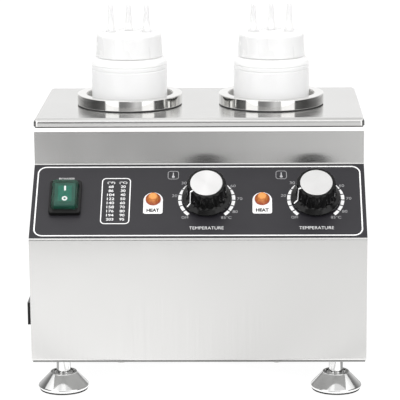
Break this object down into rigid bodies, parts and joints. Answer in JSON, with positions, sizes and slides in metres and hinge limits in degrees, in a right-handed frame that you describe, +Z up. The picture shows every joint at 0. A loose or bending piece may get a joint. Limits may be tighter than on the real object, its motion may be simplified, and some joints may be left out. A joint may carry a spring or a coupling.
{
  "type": "heated sauce dispenser",
  "caption": "Countertop warmer for nacho cheese: a stainless case with heated round wells that hold squeeze bottles with multi-spout caps, a sloped control panel and levelling feet.",
  "frame": {"origin": "on the floor under the middle of the case", "axes": "+Z up, the front and its controls face -Y, +X to the viewer's right"},
  "size_m": [0.3058, 0.2424, 0.3385],
  "materials": {
    "brushed_case": "brushed stainless steel",
    "polished_trim": "polished stainless steel",
    "drawn_steel": "drawn stainless steel",
    "printed_film": "satin printed polyester film",
    "zinc_fasteners": "zinc plated",
    "heater_mica": "steel-sheathed mica band",
    "thermostat_case": "plated steel",
    "capillary_copper": "copper tube",
    "amber_lens": "clear amber",
    "lamp_barrel": "moulded nylon",
    "black_plastic": "moulded black",
    "clear_boot": "soft clear green",
    "green_key": "clear green",
    "pin_brass": "plated brass",
    "strip_plastic": "moulded nylon",
    "spun_aluminium": "spun radial",
    "bottle_plastic": "milky soft plastic",
    "cap_plastic": "milky soft plastic",
    "seal_rubber": "silicone",
    "foot_chrome": "chrome plated",
    "pad_rubber": "matt rubber"
  },
  "bodies": {
    "housing": {"front_panel": "brushed_case", "side_panel_left": "brushed_case", "side_panel_right": "brushed_case", "back_panel": "brushed_case", "base_plate": "brushed_case", "deck_plate": "brushed_case", "deck_frame": "polished_trim", "control_overlay": "printed_film", "case_screws": "zinc_fasteners", "well_cup_left": "drawn_steel", "well_cup_right": "drawn_steel", "well_ring_left": "polished_trim", "well_ring_right": "polished_trim", "band_heater_left": "heater_mica", "band_heater_right": "heater_mica", "heater_strap_left": "zinc_fasteners", "heater_strap_right": "zinc_fasteners", "thermostat_left": "thermostat_case", "thermostat_right": "thermostat_case", "thermostat_bulb_left": "capillary_copper", "thermostat_bulb_right": "capillary_copper", "thermal_cutouts": "thermostat_case", "lamp_body_left": "lamp_barrel", "lamp_body_right": "lamp_barrel", "lamp_lens_left": "amber_lens", "lamp_lens_right": "amber_lens", "switch_body": "black_plastic", "switch_boot": "clear_boot", "switch_frame": "black_plastic", "mains_inlet": "black_plastic", "inlet_pins": "pin_brass", "terminal_block": "strip_plastic", "earth_stud": "zinc_fasteners", "foot_nuts": "zinc_fasteners"},
    "bottle_left": {"bottle_left": "bottle_plastic"},
    "cap_seal_left": {"cap_seal_left": "seal_rubber"},
    "cap_left": {"cap_left": "cap_plastic"},
    "bottle_right": {"bottle_right": "bottle_plastic"},
    "cap_seal_right": {"cap_seal_right": "seal_rubber"},
    "cap_right": {"cap_right": "cap_plastic"},
    "knob_left": {"knob_left": "black_plastic", "knob_cap_left": "spun_aluminium", "spindle_left": "thermostat_case"},
    "knob_right": {"knob_right": "black_plastic", "knob_cap_right": "spun_aluminium", "spindle_right": "thermostat_case"},
    "rocker": {"rocker": "green_key"},
    "foot_front_left": {"foot_base_front_left": "foot_chrome", "foot_pad_front_left": "pad_rubber"},
    "stem_front_left": {"foot_stem_front_left": "foot_chrome"},
    "foot_front_right": {"foot_base_front_right": "foot_chrome", "foot_pad_front_right": "pad_rubber"},
    "stem_front_right": {"foot_stem_front_right": "foot_chrome"},
    "foot_back_left": {"foot_base_back_left": "foot_chrome", "foot_pad_back_left": "pad_rubber"},
    "stem_back_left": {"foot_stem_back_left": "foot_chrome"},
    "foot_back_right": {"foot_base_back_right": "foot_chrome", "foot_pad_back_right": "pad_rubber"},
    "stem_back_right": {"foot_stem_back_right": "foot_chrome"}
  },
  "joints": [
    {"name": "bottle_left_lift", "type": "slide", "parent": "housing", "child": "bottle_left", "axis": [0, 0, 1], "range_m": [0, 0.18]},
    {"name": "cap_left_lift", "type": "slide", "parent": "bottle_left", "child": "cap_seal_left", "axis": [0, 0, 1], "range_m": [0, 0.035]},
    {"name": "cap_left_turn", "type": "hinge", "parent": "cap_seal_left", "child": "cap_left", "pos_m": [-0.0667, 0.0268, 0.3055], "axis": [0, 0, 1], "range_deg": [0, 450]},
    {"name": "bottle_right_lift", "type": "slide", "parent": "housing", "child": "bottle_right", "axis": [0, 0, 1], "range_m": [0, 0.18]},
    {"name": "cap_right_lift", "type": "slide", "parent": "bottle_right", "child": "cap_seal_right", "axis": [0, 0, 1], "range_m": [0, 0.035]},
    {"name": "cap_right_turn", "type": "hinge", "parent": "cap_seal_right", "child": "cap_right", "pos_m": [0.0667, 0.0268, 0.3055], "axis": [0, 0, 1], "range_deg": [0, 450]},
    {"name": "knob_left_turn", "type": "hinge", "parent": "housing", "child": "knob_left", "pos_m": [0.0075, -0.08452, 0.17609], "axis": [0, 0.6192, -0.7852], "range_deg": [-11, 264]},
    {"name": "knob_right_turn", "type": "hinge", "parent": "housing", "child": "knob_right", "pos_m": [0.1053, -0.08452, 0.17609], "axis": [0, 0.6192, -0.7852], "range_deg": [-23, 252]},
    {"name": "rocker_press", "type": "hinge", "parent": "housing", "child": "rocker", "pos_m": [-0.1197, -0.08292, 0.17455], "axis": [-1, 0, 0], "range_deg": [0, 14]},
    {"name": "foot_front_left_raise", "type": "slide", "parent": "housing", "child": "foot_front_left", "axis": [0, 0, 1], "range_m": [0, 0.01]},
    {"name": "foot_front_left_screw", "type": "hinge", "parent": "foot_front_left", "child": "stem_front_left", "pos_m": [-0.1241, -0.092, 0.02], "axis": [0, 0, 1], "range_deg": [0, 2058]},
    {"name": "foot_front_right_raise", "type": "slide", "parent": "housing", "child": "foot_front_right", "axis": [0, 0, 1], "range_m": [0, 0.01]},
    {"name": "foot_front_right_screw", "type": "hinge", "parent": "foot_front_right", "child": "stem_front_right", "pos_m": [0.1241, -0.092, 0.02], "axis": [0, 0, 1], "range_deg": [0, 2058]},
    {"name": "foot_back_left_raise", "type": "slide", "parent": "housing", "child": "foot_back_left", "axis": [0, 0, 1], "range_m": [0, 0.01]},
    {"name": "foot_back_left_screw", "type": "hinge", "parent": "foot_back_left", "child": "stem_back_left", "pos_m": [-0.1241, 0.092, 0.02], "axis": [0, 0, 1], "range_deg": [0, 2058]},
    {"name": "foot_back_right_raise", "type": "slide", "parent": "housing", "child": "foot_back_right", "axis": [0, 0, 1], "range_m": [0, 0.01]},
    {"name": "foot_back_right_screw", "type": "hinge", "parent": "foot_back_right", "child": "stem_back_right", "pos_m": [0.1241, 0.092, 0.02], "axis": [0, 0, 1], "range_deg": [0, 2058]}
  ],
  "couplings": [
    {"joint": "foot_front_left_screw", "follows": "foot_front_left_raise", "rad_per_m": 3590.4},
    {"joint": "foot_front_right_screw", "follows": "foot_front_right_raise", "rad_per_m": 3590.4},
    {"joint": "foot_back_left_screw", "follows": "foot_back_left_raise", "rad_per_m": 3590.4},
    {"joint": "foot_back_right_screw", "follows": "foot_back_right_raise", "rad_per_m": 3590.4}
  ]
}
